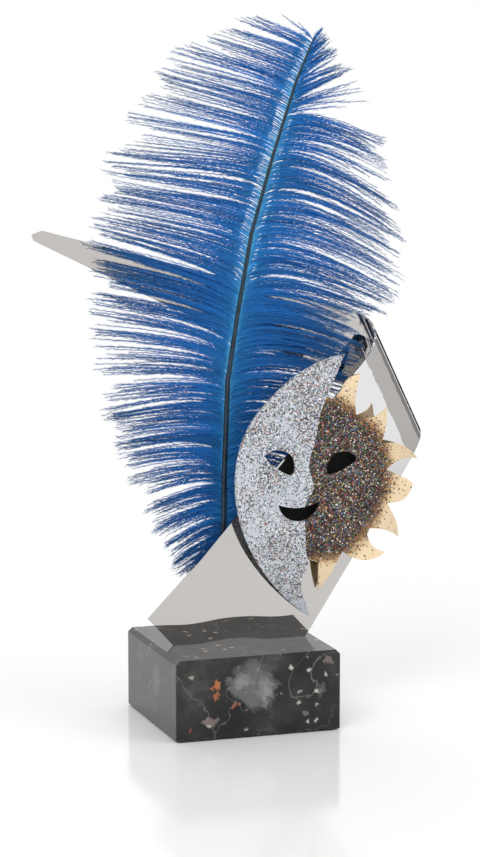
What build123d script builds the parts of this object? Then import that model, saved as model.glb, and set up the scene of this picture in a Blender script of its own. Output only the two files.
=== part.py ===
from build123d import *
import os

os.makedirs("parts", exist_ok=True)

# Driving dimensions, in millimetres. The origin is the centre of the underside,
# +X runs to the right along the front, +Y to the back, +Z up.
base_width = 80
base_depth = 80
base_top = 38
base_bevel = 2
base_corner_radius = 2

pad_thickness = 0.8
pad_inset = 3

sheet = 1.0              # thickness of the ribbon
mask_sheet = 1.0         # thickness of each mask layer
plate_y = -7             # front face of the ribbon's upright plate
ribbon_gap = 18          # from the plate's front face to the tail's back face
foot_depth = 30

bolt_radius = 2.5
bolt_clearance = 0.25
bolt_head_radius = 4.5
bolt_head_height = 2.4
washer_radius = 5
washer_thickness = 1
nut_flats = 8
nut_height = 4
counterbore_radius = 7
counterbore_depth = 10
bolt_spacing = 30
bolt_y = 8
bolt_tail = 1.5          # length of thread past the nut

mask_standoff = 6        # air between the plate and the sun layer
spacer_radius = 3
screw_radius = 1.25
screw_clearance = 0.15
screw_head_radius = 2.4
screw_head_height = 1.6
screw_grip = 4           # thread inside the spacer
plate_washer_radius = 3
plate_washer_thickness = 0.5
spacer_heights = [(28, 74), (27, 48)]
pad_felt = 1.0           # black felt patch on the plate behind the mask's openings
pad_gap = 0.5            # air between the patch and a spacer

quill_x = -3.6
quill_y = 2.5
quill_radius = 1.4
quill_tip_radius = 0.5
quill_depth = 22         # from the top of the block
socket_wall = 0.8
socket_clearance = 0.15
socket_flange_radius = 4.2
socket_flange = 1.2
vane_thickness = 5
vane_clearance = 0.3

quill_bottom = base_top - quill_depth
tail_y = plate_y + ribbon_gap - sheet
sun_back = plate_y - mask_standoff
sun_front = sun_back - mask_sheet
moon_front = sun_front - mask_sheet
foot_top = base_top + sheet
bolt_places = [(-bolt_spacing / 2, bolt_y), (bolt_spacing / 2, bolt_y)]
socket_inner = quill_radius + socket_clearance
socket_outer = socket_inner + socket_wall


def raised(points):
    """Points given as X and height above the block, as X and Z."""
    return [(x, base_top + height) for x, height in points]


def upright(y):
    """The vertical plane at depth y, drawn in X and Z and facing the front."""
    return Plane((0, y, 0), x_dir=(1, 0, 0), z_dir=(0, -1, 0))


spacer_places = raised(spacer_heights)

# Marble block
with BuildPart() as marble_base:
    with BuildSketch(Plane.XY.offset(pad_thickness)):
        RectangleRounded(base_width, base_depth, base_corner_radius)
    extrude(amount=base_top - pad_thickness)
    rim = marble_base.faces().sort_by(Axis.Z)[-1].edges()
    chamfer(rim, base_bevel)
    with Locations((bolt_places[0][0], bolt_y, pad_thickness), (bolt_places[1][0], bolt_y, pad_thickness)):
        Cylinder(bolt_radius + bolt_clearance, base_top, mode=Mode.SUBTRACT,
                 align=(Align.CENTER, Align.CENTER, Align.MIN))
        Cylinder(counterbore_radius, counterbore_depth, mode=Mode.SUBTRACT,
                 align=(Align.CENTER, Align.CENTER, Align.MIN))
    with Locations((quill_x, quill_y, quill_bottom)):
        Cylinder(socket_outer, base_top, mode=Mode.SUBTRACT,
                 align=(Align.CENTER, Align.CENTER, Align.MIN))
marble_base.part.label = "marble_base"
export_step(marble_base.part, "parts/marble_base.step")

# Felt pad
with BuildPart() as felt_pad:
    with BuildSketch():
        RectangleRounded(base_width - 2 * pad_inset, base_depth - 2 * pad_inset, base_corner_radius)
    extrude(amount=pad_thickness)
felt_pad.part.label = "felt_pad"
export_step(felt_pad.part, "parts/felt_pad.step")

# Ribbon: the upright plate, the curl that rolls off its right edge, the tail and the foot
plate_left = (-31.2, base_top)
plate_right = (33.9, base_top)
plate_notch = (36.9, base_top + 4.2)
plate_shoulder = raised([(-17.7, 40), (-43.6, 13.7)])
tail_outline = raised([(48.4, 156.7), (-88, 194.2), (-93, 192.5), (-92, 189.6), (-35.4, 161.1)])
roll_top = (58, base_top + 124.5)
roll_low = (82.7, base_top + 75.3)
tail_top = (58, base_top + 154.0)
tail_low = (84, base_top + 104.7)
curl_top = (70.5, base_top + 145.0)
curl_low = (93.6, base_top + 96.4)

with BuildPart() as steel_ribbon:
    with BuildSketch(upright(plate_y + sheet)):
        with BuildLine():
            Polyline(plate_left, plate_right, plate_notch, roll_low, roll_top, *plate_shoulder, close=True)
        make_face()
    extrude(amount=sheet)
    with BuildSketch(upright(tail_y + sheet)):
        with BuildLine():
            Polyline(tail_low, tail_top, *tail_outline, close=True)
        make_face()
    extrude(amount=sheet)
    with BuildLine(mode=Mode.PRIVATE) as upper_rim:
        Spline((roll_top[0], plate_y + sheet, roll_top[1]),
               (curl_top[0], plate_y + ribbon_gap / 2, curl_top[1]),
               (tail_top[0], tail_y, tail_top[1]),
               tangents=[(0.7, 0, 0.72), (-0.96, 0, 0.28)])
    with BuildLine(mode=Mode.PRIVATE) as lower_rim:
        Spline((roll_low[0], plate_y + sheet, roll_low[1]),
               (curl_low[0], plate_y + ribbon_gap / 2, curl_low[1]),
               (tail_low[0], tail_y, tail_low[1]),
               tangents=[(0.53, 0, 0.85), (-0.9, 0, 0.43)])
    curl_face = Face.make_surface_from_curves(upper_rim.edges()[0], lower_rim.edges()[0])
    curl = Solid.thicken(curl_face, sheet)
    if curl.volume < 0 or curl.bounding_box().max.X < curl_low[0] + sheet / 2:
        curl = Solid.thicken(curl_face, -sheet)
    add(curl)
    with BuildSketch(Plane.XY.offset(base_top)):
        with BuildLine():
            Polyline((plate_left[0], plate_y), (plate_right[0], plate_y),
                     (plate_right[0] - 10, plate_y + foot_depth), (plate_left[0] + 10, plate_y + foot_depth),
                     close=True)
        make_face()
    extrude(amount=sheet)
    with Locations((bolt_places[0][0], bolt_y, base_top), (bolt_places[1][0], bolt_y, base_top)):
        Cylinder(bolt_radius + bolt_clearance, 2 * sheet, mode=Mode.SUBTRACT,
                 align=(Align.CENTER, Align.CENTER, Align.MIN))
    with Locations((quill_x, quill_y, base_top)):
        Cylinder(socket_outer, 2 * sheet, mode=Mode.SUBTRACT,
                 align=(Align.CENTER, Align.CENTER, Align.MIN))
    for x, z in spacer_places:
        with Locations(Location((x, plate_y, z), (90, 0, 0))):
            Cylinder(screw_radius + screw_clearance, 4 * sheet, mode=Mode.SUBTRACT)
steel_ribbon.part.label = "steel_ribbon"
export_step(steel_ribbon.part, "parts/steel_ribbon.step")
print("ribbon solids", len(steel_ribbon.solids()), steel_ribbon.part.bounding_box())

# Mask: the openings that both layers share
left_eye = raised([(12.1, 90), (19.5, 90.8), (25.2, 86.4), (24.7, 79.3), (18.2, 81.7)])
right_eye = raised([(41.9, 80), (43.8, 85.8), (50.9, 88.8), (56.7, 85.4), (50.9, 80.6)])
mouth_top = raised([(17.6, 65.3), (26.9, 63.4), (38.4, 65.6)])
mouth_low = raised([(17.6, 65.3), (27.8, 56.9), (38.4, 65.6)])


def mask_openings(y):
    """The two eyes and the mouth, drawn at depth y."""
    with BuildSketch(upright(y)) as openings:
        for outline in (left_eye, right_eye):
            with BuildLine():
                Spline(*outline, periodic=True)
            make_face()
        with BuildLine():
            ThreePointArc(*mouth_top)
            ThreePointArc(*mouth_low)
        make_face()
    return openings.sketch


# Sun layer: each ray is its left root, left flank, tip, right flank and right root
rays = [
    raised([(49.7, 117.8), (52, 121.1), (61.3, 124), (57.4, 116.6), (56.6, 105.7)]),
    raised([(57, 104), (65.1, 104.5), (70.9, 108.8), (70.9, 99.1), (69.2, 92)]),
    raised([(66.9, 90.8), (80, 90.2), (89.6, 82.8), (77.8, 82.6), (70.2, 77)]),
    raised([(71.5, 76.6), (77.9, 76.2), (84.5, 72), (80.5, 65), (72.6, 63.1)]),
    raised([(74.4, 59.7), (78.1, 54.4), (81.3, 44.9), (74, 49), (63.6, 51.4)]),
    raised([(62.3, 48.5), (64.6, 43.2), (70.2, 40.2), (60.2, 36.8), (50.2, 41.1)]),
    raised([(49.3, 39.9), (45, 31), (39.6, 22.6), (38.7, 29.5), (38.2, 36.5)]),
]
sun_under_moon = raised([(28, 40), (16, 50), (9, 67), (10, 90), (20, 105), (34, 114), (42.3, 115),
                         (45.3, 113.4)])

with BuildPart() as sun_face:
    with BuildSketch(upright(sun_back)):
        with BuildLine():
            corner = sun_under_moon[-1]
            for root, flank, tip, back_flank, back_root in rays:
                Line(corner, root)
                Spline(root, flank, tip)
                Spline(tip, back_flank, back_root)
                corner = back_root
            Line(corner, sun_under_moon[0])
            Polyline(*sun_under_moon)
        make_face()
    extrude(amount=mask_sheet)
    extrude(mask_openings(sun_back), amount=mask_sheet, mode=Mode.SUBTRACT)
sun_face.part.label = "sun_face"
export_step(sun_face.part, "parts/sun_face.step")

# Moon layer
moon_outer = raised([(50.2, 134.8), (35.2, 130.7), (15.1, 117), (2.1, 101), (-3.6, 76), (0.3, 53.4),
                     (11.7, 32.4), (24.1, 18.6), (35.9, 9.2)])
moon_profile = raised([(35.9, 9.2), (32.1, 18.3), (30.3, 29), (32.9, 36.2), (31.6, 42), (31.2, 52),
                       (31.9, 66.7), (35.1, 71.6), (32.8, 81.8), (35.3, 92.6), (37.5, 104.2),
                       (43.6, 119.9), (50.2, 134.8)])

with BuildPart() as moon_face:
    with BuildSketch(upright(sun_front)):
        with BuildLine():
            Spline(*moon_outer)
            Spline(*moon_profile)
        make_face()
    extrude(amount=mask_sheet)
    extrude(mask_openings(sun_front), amount=mask_sheet, mode=Mode.SUBTRACT)
moon_face.part.label = "moon_face"
export_step(moon_face.part, "parts/moon_face.step")


def turned(y_front, length, radius, bore=0):
    """Turned solids on the spacers' axes, from y_front towards the back."""
    for x, z in spacer_places:
        with Locations(Location((x, y_front + length / 2, z), (90, 0, 0))):
            Cylinder(radius, length)
            if bore:
                Cylinder(bore, length, mode=Mode.SUBTRACT)


# Mask spacers, tapped from behind; the screws' threads are left plain
with BuildPart() as mask_spacers:
    turned(sun_back, mask_standoff, spacer_radius)
    for x, z in spacer_places:
        with Locations(Location((x, plate_y - screw_grip / 2, z), (90, 0, 0))):
            Cylinder(screw_radius, screw_grip, mode=Mode.SUBTRACT)
mask_spacers.part.label = "mask_spacers"
export_step(mask_spacers.part, "parts/mask_spacers.step")

# Felt patch on the plate, behind the eyes and the mouth
patch_outline = raised([(6.5, 65.6), (43, 105.9), (60, 102), (62, 80), (56, 62), (40, 53.5),
                        (20, 53), (9, 58)])

with BuildPart() as mask_patch:
    with BuildSketch(upright(plate_y)):
        with BuildLine():
            Polyline(*patch_outline, close=True)
        make_face()
    extrude(amount=pad_felt)
    for x, z in spacer_places:
        with Locations(Location((x, plate_y, z), (90, 0, 0))):
            Cylinder(spacer_radius + pad_gap, 4 * pad_felt, mode=Mode.SUBTRACT)
mask_patch.part.label = "mask_patch"
export_step(mask_patch.part, "parts/mask_patch.step")

with BuildPart() as plate_washers:
    turned(plate_y + sheet, plate_washer_thickness, plate_washer_radius, screw_radius + screw_clearance)
plate_washers.part.label = "plate_washers"
export_step(plate_washers.part, "parts/plate_washers.step")

with BuildPart() as mask_screws:
    turned(plate_y - screw_grip, screw_grip + sheet + plate_washer_thickness, screw_radius)
    turned(plate_y + sheet + plate_washer_thickness, screw_head_height, screw_head_radius)
mask_screws.part.label = "mask_screws"
export_step(mask_screws.part, "parts/mask_screws.step")

# Foot bolts with the washers and nuts in the counterbores
seat_z = pad_thickness + counterbore_depth
nut_top = seat_z - washer_thickness
bolt_end = nut_top - nut_height - bolt_tail

with BuildPart() as foot_bolts:
    for x, y in bolt_places:
        with Locations((x, y, bolt_end)):
            Cylinder(bolt_radius, foot_top - bolt_end, align=(Align.CENTER, Align.CENTER, Align.MIN))
        with Locations((x, y, foot_top)):
            Cylinder(bolt_head_radius, bolt_head_height, align=(Align.CENTER, Align.CENTER, Align.MIN))
    crowns = foot_bolts.faces().sort_by(Axis.Z)[-2:].edges()
    fillet(crowns, bolt_head_height / 2)
foot_bolts.part.label = "foot_bolts"
export_step(foot_bolts.part, "parts/foot_bolts.step")

with BuildPart() as base_washers:
    for x, y in bolt_places:
        with BuildSketch(Plane.XY.offset(nut_top)):
            with Locations((x, y)):
                Circle(washer_radius)
                Circle(bolt_radius + bolt_clearance, mode=Mode.SUBTRACT)
        extrude(amount=washer_thickness)
base_washers.part.label = "base_washers"
export_step(base_washers.part, "parts/base_washers.step")

with BuildPart() as base_nuts:
    for x, y in bolt_places:
        with BuildSketch(Plane.XY.offset(nut_top - nut_height)):
            with Locations((x, y)):
                RegularPolygon(nut_flats / 2, 6, major_radius=False)
                Circle(bolt_radius, mode=Mode.SUBTRACT)
        extrude(amount=nut_height)
base_nuts.part.label = "base_nuts"
export_step(base_nuts.part, "parts/base_nuts.step")

# Feather socket: a flanged tube that stands on the block's blind hole
socket_top = foot_top + socket_flange
with BuildPart() as feather_socket:
    with BuildSketch(Plane.XY.offset(quill_bottom)):
        with Locations((quill_x, quill_y)):
            Circle(socket_outer)
            Circle(socket_inner, mode=Mode.SUBTRACT)
    extrude(amount=socket_top - quill_bottom)
    with BuildSketch(Plane.XY.offset(foot_top)):
        with Locations((quill_x, quill_y)):
            Circle(socket_flange_radius)
            Circle(socket_inner, mode=Mode.SUBTRACT)
    extrude(amount=socket_flange)
feather_socket.part.label = "feather_socket"
export_step(feather_socket.part, "parts/feather_socket.step")

# Feather: the shaft is straight in the socket and then leans to the right
shaft = raised([(quill_x, 54), (-3.2, 78), (-1.5, 122), (3.2, 152), (10.1, 190.4), (20.9, 227.3), (32.1, 261),
         (40.9, 280.7)])
shaft_steps = len(shaft) - 1

with BuildPart() as feather_quill:
    with BuildSketch(Plane.XY.offset(quill_bottom)):
        with Locations((quill_x, quill_y)):
            Circle(quill_radius)
    extrude(amount=shaft[0][1] - quill_bottom)
    with Locations((quill_x, quill_y, shaft[0][1])):
        Sphere(quill_radius)
    for step in range(shaft_steps):
        low = Vector(shaft[step][0], quill_y, shaft[step][1])
        high = Vector(shaft[step + 1][0], quill_y, shaft[step + 1][1])
        low_radius = quill_radius + (quill_tip_radius - quill_radius) * step / shaft_steps
        high_radius = quill_radius + (quill_tip_radius - quill_radius) * (step + 1) / shaft_steps
        run = Plane(origin=low, z_dir=high - low)
        with Locations(run.offset((high - low).length / 2)):
            Cone(low_radius, high_radius, (high - low).length)
        with Locations(high):
            Sphere(high_radius)
feather_quill.part.label = "feather_quill"
export_step(feather_quill.part, "parts/feather_quill.step")
print("quill solids", len(feather_quill.solids()))

vane_left_edge = raised([(36, 284), (7, 291), (-23, 281.6), (-44.5, 248), (-62.8, 213), (-68, 199),
                         (-66.5, 169), (-68, 158), (-65, 120), (-52, 87), (-39, 65), (-34, 44),
                         (-20, 26), (-8, 24)])
vane_right_edge = raised([(54, 272), (75.6, 236), (82, 206), (87, 172), (82, 153), (62, 151), (56, 141),
                          (52, 108), (36, 80), (16, 46), (4, 26)])
vane_offset = quill_radius + vane_clearance


def vane(outer, side, label):
    inner = [(x + side * vane_offset, z) for x, z in shaft]
    with BuildPart() as solid:
        with BuildSketch(upright(quill_y + vane_thickness / 2)):
            with BuildLine():
                Polyline(*outer, (quill_x + side * vane_offset, outer[-1][1]), *inner, close=True)
            make_face()
        extrude(amount=vane_thickness)
    solid.part.label = label
    export_step(solid.part, "parts/" + label + ".step")


vane(vane_left_edge, -1, "feather_vane_left")
vane(vane_right_edge, 1, "feather_vane_right")
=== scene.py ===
import bpy
import math
import random
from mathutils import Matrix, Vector


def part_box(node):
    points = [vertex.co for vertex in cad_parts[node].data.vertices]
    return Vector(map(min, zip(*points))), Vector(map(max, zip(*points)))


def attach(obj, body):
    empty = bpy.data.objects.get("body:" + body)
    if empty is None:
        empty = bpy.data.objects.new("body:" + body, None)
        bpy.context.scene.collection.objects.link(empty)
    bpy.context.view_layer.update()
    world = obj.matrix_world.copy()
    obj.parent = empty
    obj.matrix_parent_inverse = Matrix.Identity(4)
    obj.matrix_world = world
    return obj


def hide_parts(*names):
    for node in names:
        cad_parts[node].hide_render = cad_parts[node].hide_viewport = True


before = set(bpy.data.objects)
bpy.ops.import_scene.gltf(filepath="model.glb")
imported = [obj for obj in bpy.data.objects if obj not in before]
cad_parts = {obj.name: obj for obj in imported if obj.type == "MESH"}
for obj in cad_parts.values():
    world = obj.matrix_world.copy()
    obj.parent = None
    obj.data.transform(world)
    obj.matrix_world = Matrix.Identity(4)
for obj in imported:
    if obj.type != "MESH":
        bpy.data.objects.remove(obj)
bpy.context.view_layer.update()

# ---------------------------------------------------------------------------
# Camera and studio: a long lens a little to the left and above, a pale table
# and large soft lamps, so that the mirror steel has something even to show.
# ---------------------------------------------------------------------------
scene = bpy.context.scene
scene.view_settings.view_transform = "Standard"

CAMERA_AZIMUTH = math.radians(-18.59)
CAMERA_PITCH = math.radians(8.72)
CAMERA_DISTANCE = 1.4019
camera_target = Vector((0.0038, 0.0, 0.1379))
towards_camera = Vector((math.sin(CAMERA_AZIMUTH) * math.cos(CAMERA_PITCH),
                         -math.cos(CAMERA_AZIMUTH) * math.cos(CAMERA_PITCH),
                         math.sin(CAMERA_PITCH)))
bpy.ops.object.camera_add(location=camera_target + towards_camera * CAMERA_DISTANCE)
camera = bpy.context.object
camera.rotation_euler = towards_camera.to_track_quat("Z", "Y").to_euler()
camera.data.lens = 126.0
camera.data.sensor_width = 36.0
scene.camera = camera


def add_lamp(name, place, aim, size, power):
    bpy.ops.object.light_add(type="AREA", location=place)
    lamp = bpy.context.object
    lamp.name = name
    lamp.data.size = size
    lamp.data.energy = power
    lamp.rotation_euler = (Vector(place) - Vector(aim)).to_track_quat("Z", "Y").to_euler()
    return lamp


add_lamp("key_softbox", (-0.9, -1.0, 1.3), (0, 0, 0.12), 0.9, 11)
add_lamp("fill_softbox", (1.2, -0.9, 0.9), (0, 0, 0.12), 1.0, 6)
add_lamp("back_softbox", (0.2, 1.2, 1.3), (0, 0, 0.15), 1.0, 6)


def linear(hex_colour):
    """An sRGB hex colour as linear red, green, blue and alpha."""
    values = [int(hex_colour[i:i + 2], 16) / 255 for i in (1, 3, 5)]
    return [v / 12.92 if v <= 0.04045 else ((v + 0.055) / 1.055) ** 2.4 for v in values] + [1.0]


def add_node(material, kind, settings=None, inputs=None, links=None, stops=None, blend="LINEAR"):
    """Adds a node: settings are its properties, inputs its socket values, links are (own socket,
    other node, its output), and stops are a colour ramp's (position, hex) pairs."""
    node = material.node_tree.nodes.new(kind)
    for key, value in (settings or {}).items():
        setattr(node, key, value)
    for key, value in (inputs or {}).items():
        node.inputs[key].default_value = value
    for own, other, output in links or []:
        material.node_tree.links.new(other.outputs[output], node.inputs[own])
    if stops:
        node.color_ramp.interpolation = blend
        elements = node.color_ramp.elements
        while len(elements) < len(stops):
            elements.new(0.5)
        for element, (position, colour) in zip(elements, stops):
            element.position = position
            element.color = linear(colour)
    return node


def new_material(name, **values):
    """A material with a Principled BSDF whose sockets take the given values."""
    material = bpy.data.materials.new(name)
    material.use_nodes = True
    shader = material.node_tree.nodes["Principled BSDF"]
    for key, value in values.items():
        shader.inputs[key.replace("_", " ")].default_value = value
    return material, shader


def connect(material, node, output, target, socket):
    material.node_tree.links.new(node.outputs[output], target.inputs[socket])


world = bpy.data.worlds.new("studio")
scene.world = world
world.use_nodes = True
air = world.node_tree
air.nodes["Background"].inputs["Color"].default_value = linear("#FFFFFF")
ray_kind = air.nodes.new("ShaderNodeLightPath")
seen_or_mirrored = air.nodes.new("ShaderNodeMath")
seen_or_mirrored.operation = "MAXIMUM"
air.links.new(ray_kind.outputs["Is Camera Ray"], seen_or_mirrored.inputs[0])
air.links.new(ray_kind.outputs["Is Glossy Ray"], seen_or_mirrored.inputs[1])
seen_through = air.nodes.new("ShaderNodeMath")
seen_through.operation = "MAXIMUM"
air.links.new(seen_or_mirrored.outputs[0], seen_through.inputs[0])
air.links.new(ray_kind.outputs["Is Transmission Ray"], seen_through.inputs[1])
level = air.nodes.new("ShaderNodeMapRange")
AIR_LEVEL = 0.75             # what lights the object
BACKGROUND_LEVEL = 1.0       # what is seen behind it and in its mirrors
level.inputs["To Min"].default_value = AIR_LEVEL
level.inputs["To Max"].default_value = BACKGROUND_LEVEL
air.links.new(seen_through.outputs[0], level.inputs["Value"])
air.links.new(level.outputs["Result"], air.nodes["Background"].inputs["Strength"])

# Table: smooth white laminate, so it mirrors the block faintly. Away from the object the camera and
# mirrors see it fade into the background, and it lights the object only as white laminate does.
FADE_START = 0.12
FADE_END = 0.6
bpy.ops.mesh.primitive_plane_add(size=8, location=(0, 0, 0))
table = bpy.context.object
table.name = "table"
laminate, laminate_shader = new_material("white_laminate", Base_Color=linear("#F4F4F4"), Roughness=0.12)
laminate_shader.inputs["Specular IOR Level"].default_value = 0.35
table.data.materials.append(laminate)
table_place = add_node(laminate, "ShaderNodeTexCoord")
table_reach = add_node(laminate, "ShaderNodeVectorMath", {"operation": "LENGTH"},
                       links=[(0, table_place, "Object")])
far_away = add_node(laminate, "ShaderNodeMapRange", {"interpolation_type": "SMOOTHSTEP"},
                    {"From Min": FADE_START, "From Max": FADE_END}, [("Value", table_reach, "Value")])
table_ray = add_node(laminate, "ShaderNodeLightPath")
table_seen = add_node(laminate, "ShaderNodeMath", {"operation": "MAXIMUM"},
                      links=[(0, table_ray, "Is Camera Ray"), (1, table_ray, "Is Glossy Ray")])
table_shown = add_node(laminate, "ShaderNodeMath", {"operation": "MAXIMUM"},
                       links=[(0, table_seen, "Value"), (1, table_ray, "Is Transmission Ray")])
faded = add_node(laminate, "ShaderNodeMath", {"operation": "MULTIPLY"},
                 links=[(0, far_away, "Result"), (1, table_shown, "Value")])
glow = add_node(laminate, "ShaderNodeEmission", inputs={"Color": linear("#FFFFFF"), "Strength": 1.0})
fading = add_node(laminate, "ShaderNodeMixShader", links=[(0, faded, "Value"), (2, glow, "Emission")])
connect(laminate, laminate_shader, "BSDF", fading, 1)
connect(laminate, fading, "Shader", laminate.node_tree.nodes["Material Output"], "Surface")


def add_card(name, middle, width, height, facing, hex_tone):
    """A studio card that only mirrors see: it gives the steel its dark bands."""
    bpy.ops.mesh.primitive_plane_add(size=1, location=middle)
    card = bpy.context.object
    card.name = name
    card.scale = (width, height, 1)
    card.rotation_euler = Vector(facing).to_track_quat("Z", "Y").to_euler()
    card.visible_camera = False
    card.visible_diffuse = False
    card.visible_shadow = False
    tone = bpy.data.materials.new(name)
    tone.use_nodes = True
    tone.node_tree.nodes.clear()
    paint = add_node(tone, "ShaderNodeEmission", inputs={"Color": linear(hex_tone), "Strength": 1.0})
    sink = add_node(tone, "ShaderNodeOutputMaterial")
    connect(tone, paint, "Emission", sink, "Surface")
    card.data.materials.append(tone)


# One black card far to the right and two grey ones nearer the front give the curl its bands
add_card("right_black_card", (0.8, 0.55, 0.25), 0.5, 0.9, (-1, -0.6, 0), "#242424")
add_card("front_right_grey_card", (0.75, -0.45, 0.25), 0.7, 0.9, (-1, 0.6, 0), "#C6C4C2")
add_card("right_grey_card", (0.75, 0.0, 0.25), 0.35, 0.9, (-1, 0, 0), "#8E8C8A")

# ---------------------------------------------------------------------------
# Marble block: dark grey marble, sawn, drilled for the bolts and the socket,
# bevelled along its top edges and polished. The ribbon is bolted down on it.
# ---------------------------------------------------------------------------
MM = 0.001


def finish_nodes(names, material):
    """Gives CAD nodes a material."""
    for name in names:
        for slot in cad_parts[name].material_slots:
            slot.material = material


# Polished marble: a soft gloss over clouds about 22 mm wide, rust coloured fossils, one mottled
# grey shard, fine pale veins and white flecks
marble, marble_shader = new_material("polished_dark_marble", Roughness=0.14)
marble_shader.inputs["Specular IOR Level"].default_value = 0.32
place = add_node(marble, "ShaderNodeTexCoord")
cloud = add_node(marble, "ShaderNodeTexNoise", links=[("Vector", place, "Object")],
                 inputs={"Scale": 1 / (22.2 * MM), "Detail": 8.0, "Roughness": 0.62})
ground = add_node(marble, "ShaderNodeValToRGB", links=[("Fac", cloud, "Fac")],
                  stops=[(0.36, "#161515"), (0.5, "#232222"), (0.6, "#302F2E"), (0.7, "#484644")])


def blot(centre, radius, colour, under, ragged=12 * MM, softness=0.25, shard=False):
    """A ragged inclusion: a colour over the one under it, in a warped ball or a cornered shard.
    Its centre and radius are in millimetres, and its rim is broken up about every 6 mm."""
    warp = add_node(marble, "ShaderNodeTexNoise", links=[("Vector", place, "Object")],
                    inputs={"Scale": 1 / (5.88 * MM), "Detail": 6.0, "Roughness": 0.7})
    push = add_node(marble, "ShaderNodeVectorMath", {"operation": "MULTIPLY_ADD"},
                    {1: (ragged, ragged, ragged)}, [(0, warp, "Color"), (2, place, "Object")])
    middle = [c * MM + ragged / 2 for c in centre]
    offset = add_node(marble, "ShaderNodeVectorMath", {"operation": "SUBTRACT"}, {1: middle},
                      [(0, push, "Vector")])
    squeeze = add_node(marble, "ShaderNodeVectorMath", {"operation": "DIVIDE"},
                       {1: [r * MM for r in radius]}, [(0, offset, "Vector")])
    if shard:
        folded = add_node(marble, "ShaderNodeVectorMath", {"operation": "ABSOLUTE"},
                          links=[(0, squeeze, "Vector")])
        reach = add_node(marble, "ShaderNodeVectorMath", {"operation": "DOT_PRODUCT"},
                         {1: (1.0, 1.0, 1.0)}, [(0, folded, "Vector")])
    else:
        reach = add_node(marble, "ShaderNodeVectorMath", {"operation": "LENGTH"},
                         links=[(0, squeeze, "Vector")])
    mask = add_node(marble, "ShaderNodeMapRange", inputs={"From Min": 1.0, "From Max": 1.0 - softness},
                    links=[("Value", reach, "Value")])
    mix = add_node(marble, "ShaderNodeMix", {"data_type": "RGBA"},
                   links=[("Factor", mask, "Result"), (6, under, 0 if under.type == "VALTORGB" else 2)])
    mix.inputs[7].default_value = linear(colour)
    return mix


coat = blot((-4, -40, 32), (11, 9, 5), "#4C4B4B", ground)
coat = blot((-3, -40, 24), (15, 40, 13), "#606163", coat, ragged=12 * MM, softness=0.25, shard=True)
coat = blot((-9, -40, 27), (9, 40, 6), "#828385", coat, ragged=14 * MM, softness=0.7, shard=True)
coat = blot((3, -40, 21), (6, 40, 10), "#858688", coat, ragged=14 * MM, softness=0.7, shard=True)
for centre, radius, colour in [
    ((-24, -40, 9), (5.5, 4, 1.9), "#756863"),
    ((-21, -40, 26), (1.9, 4, 3.0), "#A8663F"),
    ((-21, -40, 20), (1.0, 4, 3.6), "#9A5C3A"),
    ((-12, -40, 16), (1.4, 3, 1.5), "#93573A"),
    ((-33, -40, 5), (1.2, 3, 0.9), "#8A5036"),
    ((34, -40, 33), (3, 4, 1.2), "#6F6461"),
    ((22, -40, 9), (2.4, 4, 1.4), "#67625F"),
    ((-40, -8, 22), (4, 6, 8), "#4A4846"),
    ((30, -40, 20), (2, 4, 4), "#4C4A48"),
]:
    coat = blot(centre, radius, colour, coat)
# Veins wander about 36 mm apart, and flecks lie about 4 mm apart
vein_path = add_node(marble, "ShaderNodeTexNoise", links=[("Vector", place, "Object")],
                     inputs={"Scale": 1 / (35.7 * MM), "Detail": 5.0, "Distortion": 1.2})
vein_line = add_node(marble, "ShaderNodeMath", {"operation": "SUBTRACT"}, {1: 0.5},
                     [(0, vein_path, "Fac")])
vein_width = add_node(marble, "ShaderNodeMath", {"operation": "ABSOLUTE"},
                      links=[(0, vein_line, "Value")])
vein = add_node(marble, "ShaderNodeMapRange", links=[("Value", vein_width, "Value")],
                inputs={"From Min": 0.005, "From Max": 0.0, "To Max": 0.28})
veined = add_node(marble, "ShaderNodeMix", {"data_type": "RGBA"},
                  links=[("Factor", vein, "Result"), (6, coat, 2)])
veined.inputs[7].default_value = linear("#B9B6B2")
fleck_warp = add_node(marble, "ShaderNodeTexNoise", inputs={"Scale": 1 / (2 * MM), "Detail": 3.0},
                      links=[("Vector", place, "Object")])
fleck_ragged = 4 * MM
place_ragged = add_node(marble, "ShaderNodeVectorMath", {"operation": "MULTIPLY_ADD"},
                        {1: (fleck_ragged,) * 3}, [(0, fleck_warp, "Color"), (2, place, "Object")])
fleck_cells = add_node(marble, "ShaderNodeTexVoronoi", links=[("Vector", place_ragged, "Vector")],
                       inputs={"Scale": 1 / (4.35 * MM), "Randomness": 1.0})
fleck_size = add_node(marble, "ShaderNodeMapRange", inputs={"From Min": 0.3, "From Max": 0.12},
                      links=[("Value", fleck_cells, "Distance")])
fleck_tint = add_node(marble, "ShaderNodeSeparateColor", links=[("Color", fleck_cells, "Color")])
fleck_pick = add_node(marble, "ShaderNodeMath", {"operation": "GREATER_THAN"}, {1: 0.8},
                      [(0, fleck_tint, "Red")])
fleck = add_node(marble, "ShaderNodeMath", {"operation": "MULTIPLY"},
                 links=[(0, fleck_size, "Result"), (1, fleck_pick, "Value")])
flecked = add_node(marble, "ShaderNodeMix", {"data_type": "RGBA"},
                   links=[("Factor", fleck, "Value"), (6, veined, 2)])
flecked.inputs[7].default_value = linear("#B9B5B0")
connect(marble, flecked, 2, marble_shader, "Base Color")
finish_nodes(["marble_base"], marble)

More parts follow.
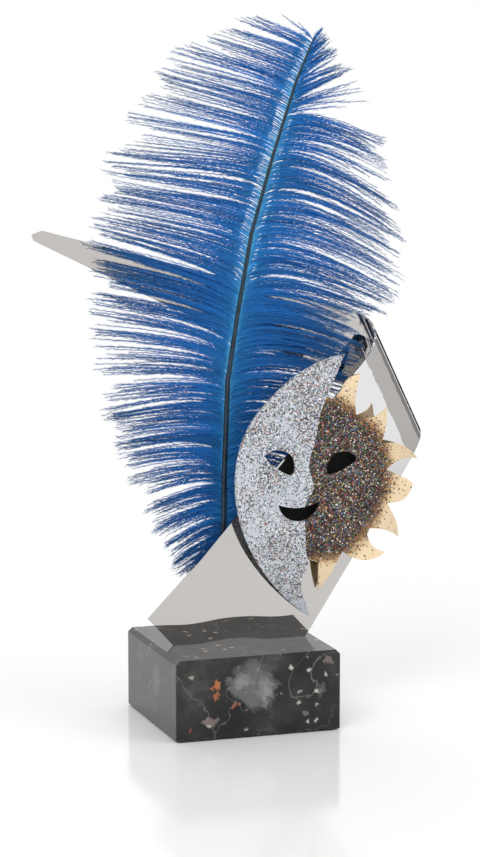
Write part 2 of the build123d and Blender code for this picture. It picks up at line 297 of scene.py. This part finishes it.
# ---------------------------------------------------------------------------
# Felt: a thin sheet of black wool felt glued under the block. The small black patch on the plate behind
# the mask's eyes and mouth is painted shade: a dark sheet put where the plate only mirrors the shaded
# back of the mask.
# ---------------------------------------------------------------------------
# Wool felt: quite matt, with a fibre pattern drawn 1.1 mm wide, which is coarser than real fibres
felt, felt_and_shade_shader = new_material("black_felt_and_painted_shade", Roughness=1.0)
felt_place = add_node(felt, "ShaderNodeTexCoord")
fibres = add_node(felt, "ShaderNodeTexNoise", inputs={"Scale": 1 / (1.11 * MM), "Detail": 3.0},
                  links=[("Vector", felt_place, "Object")])
felt_tone = add_node(felt, "ShaderNodeValToRGB", links=[("Fac", fibres, "Fac")],
                     stops=[(0.3, "#0A0A0A"), (0.7, "#161616")])
connect(felt, felt_tone, "Color", felt_and_shade_shader, "Base Color")
# On mask_patch this black is painted shade, where the plate mirrors the dark back of the mask
finish_nodes(["felt_pad", "mask_patch"], felt)

# ---------------------------------------------------------------------------
# Ribbon: one strip of mirror-polished stainless steel, laser cut, folded at
# the foot and rolled round a mandrel. Its foot is bolted to the block.
# ---------------------------------------------------------------------------
# Mirror polish: sharp reflections that waver a little over 45 mm, as rolled sheet does
mirror_steel, mirror_shader = new_material("mirror_polished_stainless", Metallic=1.0, Roughness=0.03)
steel_place = add_node(mirror_steel, "ShaderNodeTexCoord")
ripple = add_node(mirror_steel, "ShaderNodeTexNoise", inputs={"Scale": 1 / (45.5 * MM), "Detail": 1.0},
                  links=[("Vector", steel_place, "Object")])
ripple_bump = add_node(mirror_steel, "ShaderNodeBump", inputs={"Strength": 0.06, "Distance": 2 * MM},
                       links=[("Height", ripple, "Fac")])
# The fold at the foot rounds the lowest few millimetres of the plate, so they mirror the block
FOLD_HEIGHT = 10.5 * MM
FOLD_DEPTH = 0.9 * MM
block_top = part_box("marble_base")[1][2]
fold_wave = add_node(mirror_steel, "ShaderNodeTexNoise", links=[("Vector", steel_place, "Object")],
                     inputs={"Scale": 1 / (31.25 * MM), "Detail": 0.0})
fold_wobble = add_node(mirror_steel, "ShaderNodeMath", {"operation": "MULTIPLY_ADD"},
                       {1: 6 * MM, 2: -3 * MM}, [(0, fold_wave, "Fac")])
steel_height = add_node(mirror_steel, "ShaderNodeSeparateXYZ",
                        links=[("Vector", steel_place, "Object")])
fold_line = add_node(mirror_steel, "ShaderNodeMath", {"operation": "ADD"},
                     links=[(0, steel_height, "Z"), (1, fold_wobble, "Value")])
fold = add_node(mirror_steel, "ShaderNodeMapRange",
                inputs={"From Min": block_top, "From Max": block_top + FOLD_HEIGHT},
                links=[("Value", fold_line, "Value")])
fold_bump = add_node(mirror_steel, "ShaderNodeBump", inputs={"Strength": 1.0, "Distance": FOLD_DEPTH},
                     links=[("Height", fold, "Result"), ("Normal", ripple_bump, "Normal")])
connect(mirror_steel, fold_bump, "Normal", mirror_shader, "Normal")
# Painted reflection: over the steel's own tone, the sheet's colour is made lighter towards the top of
# its front than at the foot and on the tail, standing in for brighter reflections there
LIGHTER_FROM = 95 * MM
LIGHTEST_AT = 140 * MM
FRONT_SIDE = 3 * MM
height_share = add_node(mirror_steel, "ShaderNodeMapRange", {"interpolation_type": "SMOOTHSTEP"},
                        {"From Min": LIGHTER_FROM, "From Max": LIGHTEST_AT},
                        [("Value", steel_height, "Z")])
in_front = add_node(mirror_steel, "ShaderNodeMath", {"operation": "LESS_THAN"}, {1: FRONT_SIDE},
                    [(0, steel_height, "Y")])
painted_light_share = add_node(mirror_steel, "ShaderNodeMath", {"operation": "MULTIPLY"},
                  links=[(0, height_share, "Result"), (1, in_front, "Value")])
steel_tone_and_painted_light = add_node(mirror_steel, "ShaderNodeMix", {"data_type": "RGBA"},
                      links=[("Factor", painted_light_share, "Value")])
steel_tone_and_painted_light.inputs[6].default_value = linear("#C4C1BE")
# This paler colour is painted reflection light on the upper front, not a colour of the steel
steel_tone_and_painted_light.inputs[7].default_value = linear("#E6E5E5")
connect(mirror_steel, steel_tone_and_painted_light, 2, mirror_shader, "Base Color")
finish_nodes(["steel_ribbon"], mirror_steel)

# ---------------------------------------------------------------------------
# Small hardware: turned stainless steel spacers, screws, bolts, washers and
# nuts, and the flanged tube let into foot and block that holds the quill.
# ---------------------------------------------------------------------------
# Turned finish: duller than the sheet, with tool marks drawn 0.7 mm wide so that they show
turned_steel, turned_shader = new_material("turned_stainless", Base_Color=linear("#B8B6B3"),
                                           Metallic=1.0, Roughness=0.28)
turned_place = add_node(turned_steel, "ShaderNodeTexCoord")
tool_marks = add_node(turned_steel, "ShaderNodeTexNoise", links=[("Vector", turned_place, "Object")],
                      inputs={"Scale": 1 / (0.667 * MM), "Detail": 2.0})
mark_bump = add_node(turned_steel, "ShaderNodeBump", inputs={"Strength": 0.1, "Distance": 0.1 * MM},
                     links=[("Height", tool_marks, "Fac")])
connect(turned_steel, mark_bump, "Normal", turned_shader, "Normal")
finish_nodes(["mask_spacers", "mask_screws", "plate_washers", "foot_bolts", "base_washers",
              "base_nuts", "feather_socket"], turned_steel)

# ---------------------------------------------------------------------------
# Moon: the mask's front layer, laser-cut sheet lacquered silver and strewn
# with glitter. It is bonded to the sun, and its foot leans back to the plate.
# ---------------------------------------------------------------------------


def bendable_copy(node, name, step):
    """A merged copy of a CAD sheet, cut into strips so that it can be bent."""
    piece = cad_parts[node].copy()
    piece.data = piece.data.copy()
    piece.name = name
    bpy.context.collection.objects.link(piece)
    piece.parent = None
    bpy.ops.object.select_all(action="DESELECT")
    bpy.context.view_layer.objects.active = piece
    piece.select_set(True)
    bpy.ops.object.mode_set(mode="EDIT")
    bpy.ops.mesh.select_all(action="SELECT")
    bpy.ops.mesh.remove_doubles(threshold=1e-5)
    low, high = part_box(node)
    for axis in (0, 2):
        cuts = int((high[axis] - low[axis]) / step)
        for cut in range(1, cuts):
            at = [0.0, 0.0, 0.0]
            at[axis] = low[axis] + cut * step
            normal = [0.0, 0.0, 0.0]
            normal[axis] = 1.0
            bpy.ops.mesh.select_all(action="SELECT")
            bpy.ops.mesh.bisect(plane_co=at, plane_no=normal)
    bpy.ops.object.mode_set(mode="OBJECT")
    return piece


def glitter(name, flake_size, flakes):
    """Lacquer strewn with flakes: each flake is one cell with its own colour and tilt. The flakes
    are drawn about twice as wide as real ones, so that single ones show."""
    material, shader = new_material(name, Roughness=0.35, Metallic=0.25)
    at = add_node(material, "ShaderNodeTexCoord")
    cells = add_node(material, "ShaderNodeTexVoronoi", inputs={"Scale": 1.0 / (flake_size * MM)},
                     links=[("Vector", at, "Object")])
    lots = add_node(material, "ShaderNodeSeparateColor", links=[("Color", cells, "Color")])
    tints = add_node(material, "ShaderNodeValToRGB", links=[("Fac", lots, "Red")], stops=flakes,
                     blend="CONSTANT")
    return material, shader, at, lots, tints


# Silver lacquer: pale and satin, sprinkled with grey, black, white and a few coloured flakes
FLAKE_SIZE = 0.55
silver, silver_shader, silver_at, silver_lots, silver_tints = glitter(
    "silver_glitter_lacquer", FLAKE_SIZE,
    [(0.0, "#6B6C70"), (0.16, "#3A3A3E"), (0.34, "#8D9197"), (0.48, "#B4B8BE"), (0.58, "#E2E4E8"),
     (0.7, "#84746C"), (0.78, "#A8706A"), (0.84, "#6E9484"), (0.89, "#A8966A"), (0.93, "#6C82A8"),
     (0.97, "#F0F0F2")])
silver_normal = add_node(silver, "ShaderNodeBump", inputs={"Strength": 0.35, "Distance": 0.4 * MM},
                         links=[("Height", silver_lots, "Green")])
connect(silver, silver_normal, "Normal", silver_shader, "Normal")
# The lower point of the moon, more than 58 mm below its middle, is left almost bare
BARE_BELOW = 58 * MM
BARE_EDGE = 12 * MM
silver_where = add_node(silver, "ShaderNodeSeparateXYZ", links=[("Vector", silver_at, "Object")])
moon_low, moon_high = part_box("moon_face")
moon_middle = (moon_low[2] + moon_high[2]) / 2
how_far = add_node(silver, "ShaderNodeMath", {"operation": "SUBTRACT"}, {0: moon_middle},
                   [(1, silver_where, "Z")])
strewn = add_node(silver, "ShaderNodeMath", {"operation": "MULTIPLY"}, {1: BARE_EDGE},
                  [(0, silver_lots, "Blue")])
edge_of_glitter = add_node(silver, "ShaderNodeMath", {"operation": "ADD"},
                           links=[(0, how_far, "Value"), (1, strewn, "Value")])
bare = add_node(silver, "ShaderNodeMapRange", links=[("Value", edge_of_glitter, "Value")],
                inputs={"From Min": BARE_BELOW, "From Max": BARE_BELOW + 2 * MM})
# The sprinkling is uneven over about 18 mm
density = add_node(silver, "ShaderNodeTexNoise", inputs={"Scale": 1 / (18.2 * MM), "Detail": 2.0},
                   links=[("Vector", silver_at, "Object")])
thin_spots = add_node(silver, "ShaderNodeMapRange", links=[("Value", density, "Fac")],
                      inputs={"From Min": 0.38, "From Max": 0.66, "To Min": 0.25, "To Max": 0.8})
unstrewn = add_node(silver, "ShaderNodeMath", {"operation": "LESS_THAN"},
                    links=[(0, silver_lots, "Green"), (1, thin_spots, "Result")])
no_flake = add_node(silver, "ShaderNodeMath", {"operation": "MAXIMUM"},
                    links=[(0, unstrewn, "Value"), (1, bare, "Result")])
silver_colour = add_node(silver, "ShaderNodeMix", {"data_type": "RGBA"},
                         links=[("Factor", no_flake, "Value"), (6, silver_tints, "Color")])
silver_colour.inputs[7].default_value = linear("#C2C7D0")
connect(silver, silver_colour, 2, silver_shader, "Base Color")

STRIP = 2 * MM
moon = bendable_copy("moon_face", "moon", STRIP)
moon_bend = 40 * MM          # the lowest part leans back until it nearly meets the plate
moon_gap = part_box("mask_spacers")[1][1] - moon_high[1]
for vertex in moon.data.vertices:
    drop = max(0.0, (moon_low[2] + moon_bend - vertex.co.z) / moon_bend)
    vertex.co.y += 0.85 * moon_gap * drop ** 1.6
moon.data.materials.clear()
moon.data.materials.append(silver)
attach(moon, "stand")
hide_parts("moon_face")

# ---------------------------------------------------------------------------
# Sun: the mask's back layer, laser-cut sheet lacquered gold and screwed to
# the spacers. Dark glitter covers its middle, and its rays are curled by hand.
# ---------------------------------------------------------------------------
# Gold lacquer: pale satin gold that darkens through brown to black glitter with coloured flakes
gold, gold_shader, gold_at, gold_lots, gold_tints = glitter(
    "gold_and_dark_glitter_lacquer", FLAKE_SIZE,
    [(0.0, "#1E1815"), (0.3, "#3A302B"), (0.5, "#554842"), (0.64, "#83766E"), (0.76, "#9A4338"),
     (0.81, "#457A52"), (0.855, "#4F6FA0"), (0.9, "#B89A58"), (0.94, "#E2DDD2"), (0.975, "#86546C")])
sun_normal = add_node(gold, "ShaderNodeBump", inputs={"Strength": 0.3, "Distance": 0.4 * MM},
                      links=[("Height", gold_lots, "Green")])
connect(gold, sun_normal, "Normal", gold_shader, "Normal")
sun_low, sun_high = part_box("sun_face")
sun_centre = Vector((34 * MM, (sun_low[1] + sun_high[1]) / 2, 114 * MM))
DARK_RADIUS = 31.5 * MM
GOLD_RADIUS = 43.5 * MM
sun_offset = add_node(gold, "ShaderNodeVectorMath", {"operation": "SUBTRACT"},
                      {1: [sun_centre.x, sun_centre.y, sun_centre.z]}, [(0, gold_at, "Object")])
sun_reach = add_node(gold, "ShaderNodeVectorMath", {"operation": "LENGTH"},
                     links=[(0, sun_offset, "Vector")])
# The rim of the dark middle wanders in and out by 4 mm, about every 17 mm
wander = add_node(gold, "ShaderNodeTexNoise", inputs={"Scale": 1 / (16.7 * MM), "Detail": 2.0},
                  links=[("Vector", gold_at, "Object")])
wandering = add_node(gold, "ShaderNodeMath", {"operation": "MULTIPLY_ADD"}, {1: 8 * MM, 2: -4 * MM},
                     [(0, wander, "Fac")])
sun_reach_ragged = add_node(gold, "ShaderNodeMath", {"operation": "ADD"},
                            links=[(0, sun_reach, "Value"), (1, wandering, "Value")])
fade = add_node(gold, "ShaderNodeMapRange", links=[("Value", sun_reach_ragged, "Value")],
                inputs={"From Min": DARK_RADIUS, "From Max": GOLD_RADIUS})
gold_ground = add_node(gold, "ShaderNodeValToRGB", links=[("Fac", fade, "Result")],
                       stops=[(0.0, "#2C211D"), (0.3, "#4A3427"), (0.6, "#9C744C"), (0.85, "#E0C398"),
                              (1.0, "#EAD3AE")])
sparser = add_node(gold, "ShaderNodeMapRange", inputs={"To Min": 0.05, "To Max": 0.96},
                   links=[("Value", fade, "Result")])
strewing = add_node(gold, "ShaderNodeMath", {"operation": "GREATER_THAN"},
                    links=[(0, gold_lots, "Blue"), (1, sparser, "Result")])
gold_colour = add_node(gold, "ShaderNodeMix", {"data_type": "RGBA"},
                       links=[("Factor", strewing, "Value"), (6, gold_ground, "Color"),
                              (7, gold_tints, "Color")])
connect(gold, gold_colour, 2, gold_shader, "Base Color")
gold_shader.inputs["Metallic"].default_value = 0.45

sun = bendable_copy("sun_face", "sun", STRIP)
ray_start = 33 * MM
ray_length = 20 * MM
ray_width = 7.0              # degrees
# Direction of each ray in degrees from +X, and how far its tip is curled in mm: back is positive
curls = [(62, 5), (41, -4), (7, 4), (-4, -3), (-34, 6), (-46, -5), (-84, 4)]
for vertex in sun.data.vertices:
    arm = vertex.co - sun_centre
    reach = math.hypot(arm.x, arm.z)
    if reach > ray_start:
        heading = math.degrees(math.atan2(arm.z, arm.x))
        lift = 0.0
        weight = 1e-6
        for direction, amount in curls:
            near = math.exp(-((heading - direction) / ray_width) ** 2)
            lift += near * amount
            weight += near
        vertex.co.y += lift / weight * MM * ((reach - ray_start) / ray_length) ** 2
sun.data.materials.clear()
sun.data.materials.append(gold)
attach(sun, "stand")
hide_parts("sun_face")

# ---------------------------------------------------------------------------
# Quill: the tapering shaft of one ostrich feather, dyed with the plume and
# pushed into the socket, where it can be lifted out again.
# ---------------------------------------------------------------------------
# Dyed keratin: nearly black blue with a low gloss and faint streaks about 3 mm apart
quill_material, quill_shader = new_material("dyed_quill", Roughness=0.35)
quill_place = add_node(quill_material, "ShaderNodeTexCoord")
quill_streaks = add_node(quill_material, "ShaderNodeTexNoise",
                         inputs={"Scale": 1 / (3.33 * MM), "Detail": 3.0},
                         links=[("Vector", quill_place, "Object")])
quill_tone = add_node(quill_material, "ShaderNodeValToRGB", links=[("Fac", quill_streaks, "Fac")],
                      stops=[(0.3, "#061420"), (0.7, "#0B3346")])
connect(quill_material, quill_tone, "Color", quill_shader, "Base Color")
finish_nodes(["feather_quill"], quill_material)

# ---------------------------------------------------------------------------
# Plume: the two vanes of the feather, dyed deep blue. Hundreds of soft barbs
# grow from the shaft steeply and droop outwards in wisps, each with barbules.
# ---------------------------------------------------------------------------
# Dyed down: matt, paler at the shaft where the dye took less, each barb a little different. Each
# barb's UV runs along it in x, and holds its own tone in y
barb_dye, barb_shader = new_material("dyed_ostrich_barbs", Roughness=0.75)
barb_uv = add_node(barb_dye, "ShaderNodeUVMap", {"uv_map": "strand"})
strand = add_node(barb_dye, "ShaderNodeSeparateXYZ", links=[("Vector", barb_uv, "UV")])
along = add_node(barb_dye, "ShaderNodeValToRGB", links=[("Fac", strand, "X")],
                 stops=[(0.0, "#4C9CC4"), (0.1, "#1E76B8"), (0.35, "#1068B6"), (0.65, "#1062AE"),
                        (0.88, "#145A9C"), (1.0, "#20568A")])
shade = add_node(barb_dye, "ShaderNodeMapRange", inputs={"To Min": 0.6, "To Max": 1.35},
                 links=[("Value", strand, "Y")])
toned = add_node(barb_dye, "ShaderNodeHueSaturation",
                 links=[("Color", along, "Color"), ("Value", shade, "Result")])
connect(barb_dye, toned, "Color", barb_shader, "Base Color")
barb_shader.inputs["Sheen Weight"].default_value = 0.08
barb_shader.inputs["Specular IOR Level"].default_value = 0.3

# The shaft's line, x and z in mm
shaft = [(-3.6, 70), (-3.2, 116), (-1.5, 160), (3.2, 190), (10.1, 228.4), (20.9, 265.3), (32.1, 299),
         (40.9, 318.7)]
# Guide barbs, lowest first: height of the root on the shaft, then the tip's x and z, in mm
guides = {
    "left": [(72, -16, 63), (80, -27, 71), (90, -34, 82), (101, -39, 95), (111, -46, 110),
             (121, -52, 124), (134, -58, 138), (148, -64, 150), (160, -66, 171), (175, -67, 197),
             (206, -66, 234), (232, -63, 251), (254, -58, 268), (273, -42, 292), (290, -29, 311),
             (304, -14, 322), (311, 5, 328), (318, 32, 330)],
    "right": [(72, 14, 64), (100, 30, 96), (120, 42, 115), (142, 54, 137), (160, 63, 154),
              (180, 64, 172), (190, 64, 181), (195, 66, 186), (198, 76, 189), (224, 87, 203),
              (247, 86, 226), (262, 82, 243), (280, 76, 272), (286, 62, 298), (297, 54, 309),
              (308, 49, 318), (318, 45, 324)],
}


def between(rows, height, key):
    """The row of numbers at a height, between the two rows whose keys lie round it."""
    for low, high in zip(rows, rows[1:]):
        if height <= high[key]:
            break
    part = min(1.0, max(0.0, (height - low[key]) / (high[key] - low[key])))
    return [a + (b - a) * part for a, b in zip(low, high)]


def make_vane(side, name, node, seed, barbs, wisp):
    """One vane: barbs as tapered strips in wisps of a few, each with barbules on both sides."""
    dice = random.Random(seed)
    quill_y = (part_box("feather_quill")[0][1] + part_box("feather_quill")[1][1]) / 2
    points, faces, uv = [], [], []
    steps = 9
    bottom, top = 71.0, 318.0    # heights of the first and last root, mm
    dense_below = 200.0
    barbule_width = 0.22
    crowding = 1.35          # above 1 the barbs stand closer towards the foot
    wisp_shift = [(dice.uniform(-3.2, 3.2), dice.uniform(0.86, 1.03), dice.uniform(-1, 1))
                  for _ in range(barbs // wisp + 2)]
    for number in range(barbs):
        share = ((number + dice.random()) / barbs) ** crowding
        height = bottom + (top - bottom) * share
        group = max(0, int(number / wisp + dice.uniform(-0.25, 0.25)))
        shift, length, depth = wisp_shift[group]
        middle = bottom + (top - bottom) * ((group + 0.5) * wisp / barbs) ** crowding
        root = Vector(between(shaft, height, 1))
        above = Vector(between(shaft, height + 4, 1))
        below = Vector(between(shaft, height - 4, 1))
        up = (above - below).normalized()
        aim = middle + (height - middle) * 0.4 + shift + dice.uniform(-1.3, 1.3)
        tip = Vector(between(guides[side], aim, 0)[1:])
        tip = root + (tip - root) * length * (1 - 0.4 * dice.random() ** 3)
        span = (tip - root).length
        if side == "left":
            bow = 0.015 + 0.13 * (1 - share) ** 2
        else:
            bow = 0.12 if share < 0.85 else 0.03
        rise = root + up * span * (bow + 0.05) + (tip - root) * 0.12
        droop = tip + (root - tip) * 0.4 + up * span * bow
        thick = dice.uniform(0.18, 0.3)
        tone = dice.random() * 0.65 + 0.35 * (depth * 0.5 + 0.5)
        belly = depth * 2.2 + dice.uniform(-0.7, 0.7)

        def spot(t):
            flat = ((1 - t) ** 3 * root + 3 * (1 - t) ** 2 * t * rise + 3 * (1 - t) * t ** 2 * droop
                    + t ** 3 * tip)
            return Vector((flat.x * MM, quill_y + belly * MM * math.sin(t * 2.2), flat.y * MM))

        base = len(points)
        for step in range(steps + 1):
            t = step / steps
            here = spot(t)
            ahead = (spot(min(1, t + 0.02)) - spot(max(0, t - 0.02))).normalized()
            across = Vector((-ahead.z, 0, ahead.x)) * thick * MM * (1 - 0.8 * t)
            points += [here - across, here + across]
            if step:
                k = base + 2 * step
                faces.append((k - 2, k - 1, k + 1, k))
                past = (step - 1) / steps
                uv += [(past, tone), (past, tone), (t, tone), (t, tone)]
        hairs = int(span * (2.4 if height < dense_below else 1.4))
        bare_root = 0.08 if height < dense_below else 0.14
        for hair in range(hairs):
            t = bare_root + (1 - bare_root) * ((hair + dice.random()) / hairs) ** 1.3
            here = spot(t)
            ahead = (spot(min(1, t + 0.02)) - spot(max(0, t - 0.02))).normalized()
            swing = dice.choice((-1, 1)) * dice.uniform(0.15, 0.45)
            out = Vector((ahead.x * math.cos(swing) - ahead.z * math.sin(swing),
                          dice.uniform(-0.25, 0.25),
                          ahead.x * math.sin(swing) + ahead.z * math.cos(swing)))
            reach = dice.uniform(2.5, 5.5) * MM * (1 - 0.5 * t)
            side_step = Vector((-out.z, 0, out.x)) * barbule_width * MM / 2
            k = len(points)
            points += [here - side_step, here + side_step, here + out * reach]
            faces.append((k, k + 1, k + 2))
            hair_tone = min(1.0, max(0.0, tone + dice.uniform(-0.25, 0.25)))
            uv += [(t, hair_tone), (t, hair_tone), (min(1, t + 0.15), hair_tone)]
    mesh = bpy.data.meshes.new(name)
    mesh.from_pydata(points, [], faces)
    layer = mesh.uv_layers.new(name="strand")
    for loop, value in zip(layer.data, uv):
        loop.uv = value
    vane = bpy.data.objects.new(name, mesh)
    bpy.context.collection.objects.link(vane)
    mesh.materials.append(barb_dye)
    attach(vane, "feather")
    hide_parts(node)


make_vane("left", "plume_left", "feather_vane_left", 11, 760, 4)
make_vane("right", "plume_right", "feather_vane_right", 23, 960, 4)
